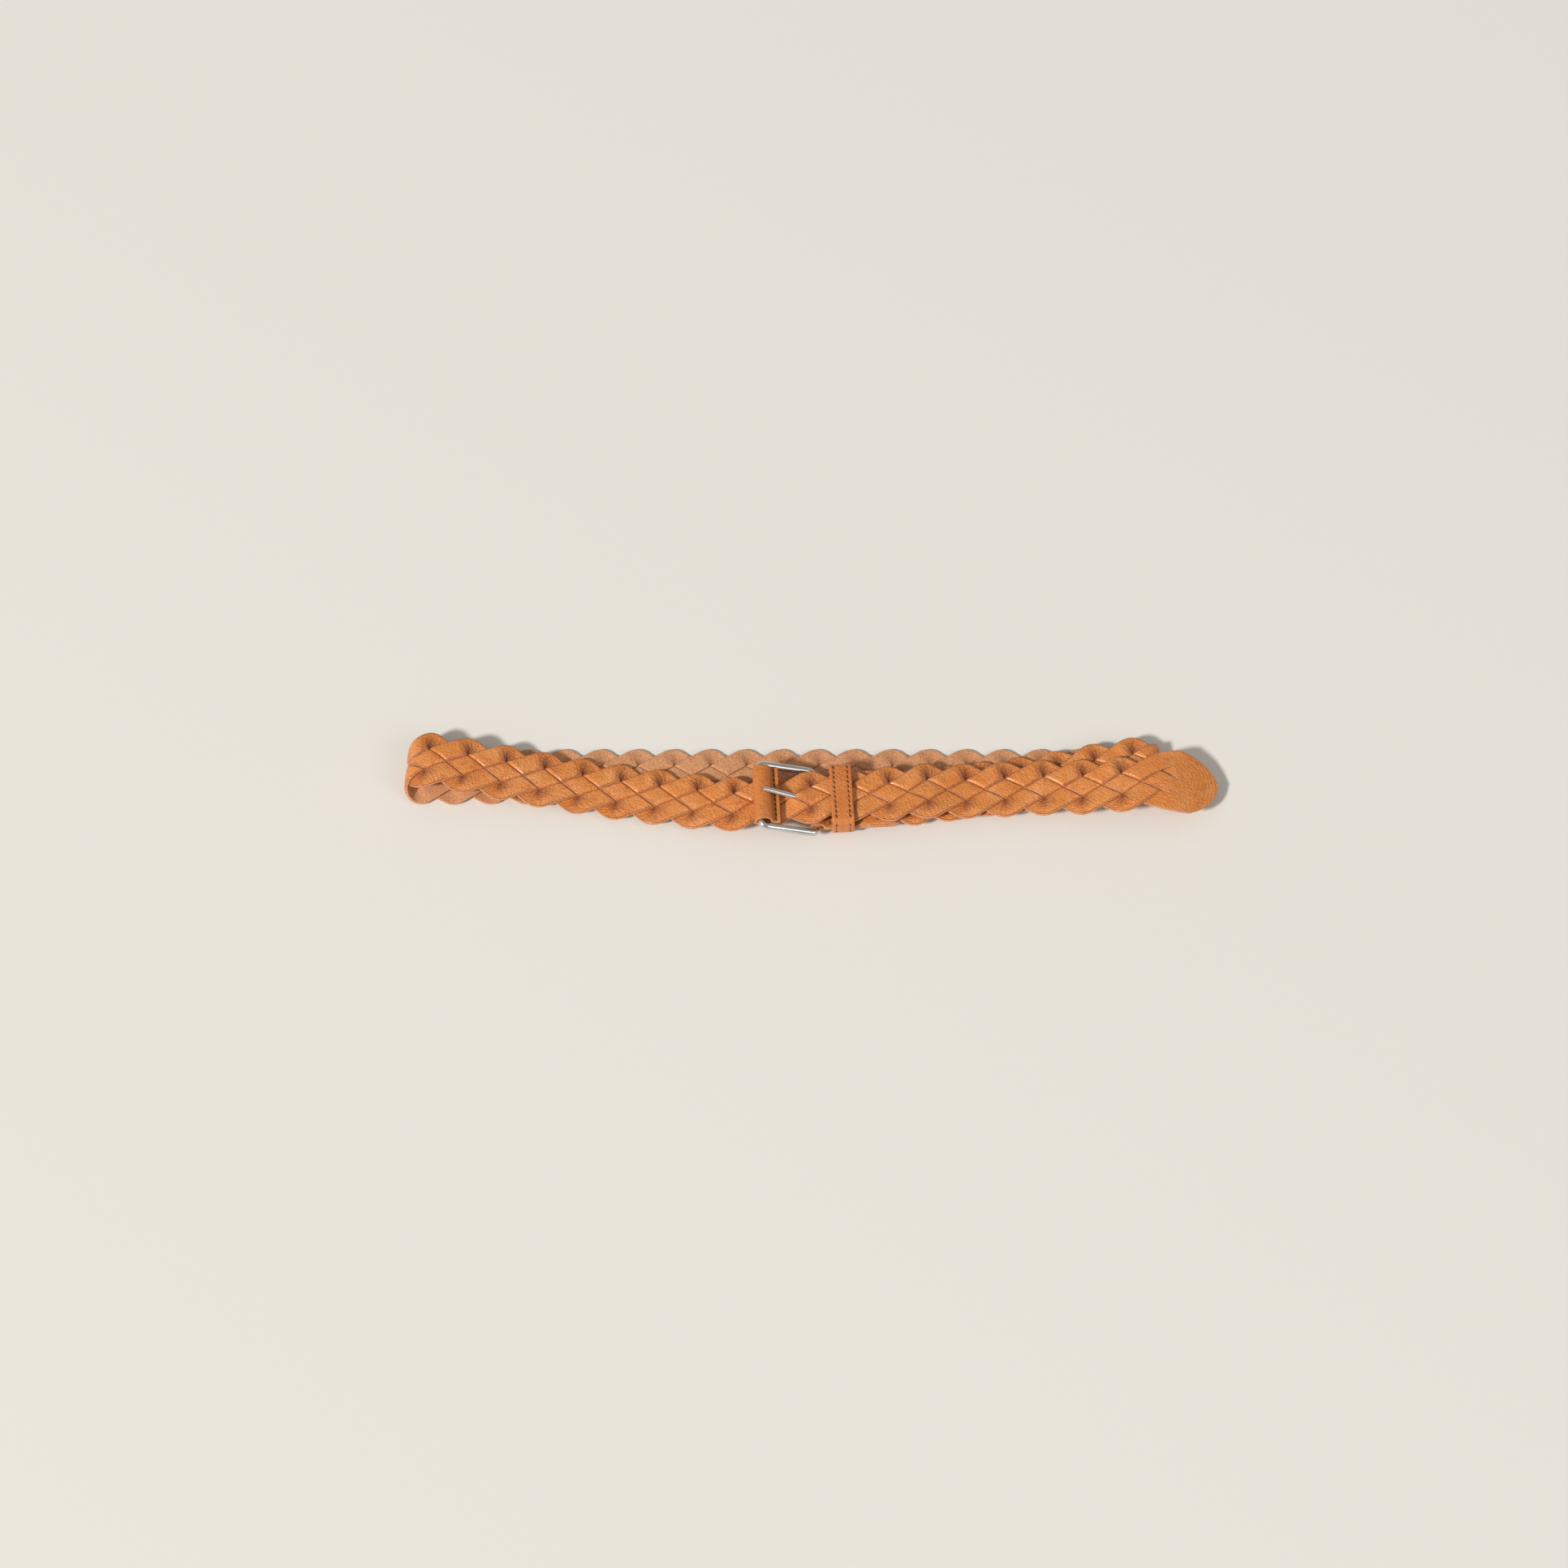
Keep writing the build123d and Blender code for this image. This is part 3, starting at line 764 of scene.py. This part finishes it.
sleeve_profile = Profile([(flange_end, flange_low + skin), (roll_x + 7, flange_low + skin),
                          (roll_x + 4.2, flange_low + skin - 0.2)] + round_bar
                         + [(roll_x + 6.6, flange_low + 3 * skin), (roll_x + 7.8, flange_low + 3 * skin),
                            (flange_end + 0.1, flange_low + 3 * skin)])
sleeve_rows = np.linspace(0, sleeve_profile.d[-1], 150)
sleeve_columns = np.concatenate(([-1, -0.99, -0.965], np.linspace(-0.93, 0.93, 49), [0.965, 0.99, 1]))
mesh, i, j, top = box_sheet(len(sleeve_rows), len(sleeve_columns))
d, f = sleeve_rows[i], sleeve_columns[j]
bow = 0.35 * np.sin(d * 0.23) * np.sign(f) * np.abs(f)**3
shoulder = np.interp(np.abs(f), [0.965, 1.0], [0.0, 0.22])
seam = 0.16 * np.exp(-((sleeve_profile.d[-1] - d - 2.2) / 0.7)**2)
rise = np.where(top, skin - shoulder - seam, -skin + shoulder * 0.5)
x, z = sleeve_profile.read(d, rise)
sleeve = leather_piece("rolled_sleeve", mesh, on_buckle(x, f * sleeve_half_width + bow, z), 0.0,
                       (tab_grain, flesh, cut_edge))
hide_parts("bar_sleeve")
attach(sleeve, "sleeve")
stitches("sleeve_thread", "sleeve_stitches", "sleeve",
         row_across(flange_end - 2.1, flange_low + 4 * skin - 0.08, 11), radians(8))

# ---------------------------------------------------------------------------------------------
# Keeper: a band of two layers, smooth hide outside and a thin lining inside, sewn along both edges
# and closed under the tab. It holds the tongue down and slides along it.
# ---------------------------------------------------------------------------------------------
keeper_centre = 13.9
keeper_half_width = 5.9
keeper_half_room = 16.5
keeper_floor = 6.1
keeper_ceiling = 16.3
lining_growth = 0.45            # how far each layer's middle lies outside the keeper's room
outer_growth = 1.48
thread_offset = 3.7
keeper_grain = leather_face("keeper_grain", (0.68, 0.20, 0.036), (0.50, 0.12, 0.020), (0.74, 0.27, 0.07),
                            0.34, 1200.0, (0.30, 0.07, 0.03))
lining_grain = leather_face("lining_grain", (0.52, 0.17, 0.04), (0.38, 0.09, 0.02), (0.60, 0.24, 0.08),
                            0.5, 1200.0, None)


def band_outline(growth, round_over):
    """Closed outline round the tongue and the tab, across and up, from the middle of the underside."""
    half, low, high = keeper_half_room + growth, keeper_floor - growth, keeper_ceiling + growth
    r = round_over
    sweep = [((half - r), low + r, -90, 0), ((half - r), high - r, 0, 90),
             (-(half - r), high - r, 90, 180), (-(half - r), low + r, 180, 270)]
    outline = [(0, low), (half * 0.45, low)]
    for number, (cx, cz, first, last) in enumerate(sweep):
        outline += arc(cx, cz, r, first, last, 6)
        if number == 1:
            outline += [(half * k, high + 0.25 * (1 - (k / 0.75)**2)) for k in (0.6, 0.3, 0, -0.3, -0.6)]
    return outline + [(-half * 0.45, low)]


def band(name, node, growth, round_over, depth, paints):
    outline = Profile(band_outline(growth, round_over), closed=True)
    rows = np.linspace(0, outline.d[-1], 240)
    across = np.concatenate(([-1, -0.96, -0.9], np.linspace(-0.8, 0.8, 17), [0.9, 0.96, 1]))
    mesh, i, j, top = box_sheet(len(rows), len(across))
    d, f = rows[i], across[j]
    shoulder = np.interp(np.abs(f), [0.9, 1.0], [0.0, 0.28])
    groove = 0.14 * np.exp(-((np.abs(f) * keeper_half_width - thread_offset) / 0.55)**2)
    rise = np.where(top, -depth / 2 + shoulder * 0.4, depth / 2 - shoulder - groove)
    y, z = outline.read(d, -rise)
    x = keeper_centre + f * keeper_half_width
    piece = leather_piece(name, mesh, on_buckle(x, y, z), 0.0, paints)
    bm = bmesh.new()
    bm.from_mesh(mesh)
    bmesh.ops.remove_doubles(bm, verts=bm.verts[:], dist=1e-7)
    ends = [face for face in bm.faces if all(len(edge.link_faces) > 2 for edge in face.edges)]
    bmesh.ops.delete(bm, geom=ends, context="FACES_ONLY")
    bmesh.ops.recalc_face_normals(bm, faces=bm.faces[:])
    bm.to_mesh(mesh)
    bm.free()
    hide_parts(node)
    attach(piece, "keeper")


band("keeper_lining_band", "keeper_lining", lining_growth, 1.6, 0.85,
     (lining_grain, lining_grain, cut_edge))
band("keeper_outer_band", "keeper_outer", outer_growth, 2.8, 1.05,
     (lining_grain, keeper_grain, cut_edge))
keeper_out = outer_growth + 0.5
side_row_top = 14.2
spots = []
for offset in (-thread_offset, thread_offset):
    x = keeper_centre + offset
    for k in range(11):
        y = (k - 5) * stitch_pitch
        spots.append((Vector((x, y, keeper_ceiling + keeper_out + 0.1)), (0, 1, 0), (0, 0, 1)))
    for side in (-1, 1):
        for k in range(3):
            y = side * (keeper_half_room + keeper_out)
            z = side_row_top - k * stitch_pitch
            spots.append((Vector((x, y, z)), (0, 0, side), (0, side, 0)))
stitches("keeper_thread", "keeper_stitches", "keeper", spots, radians(16))
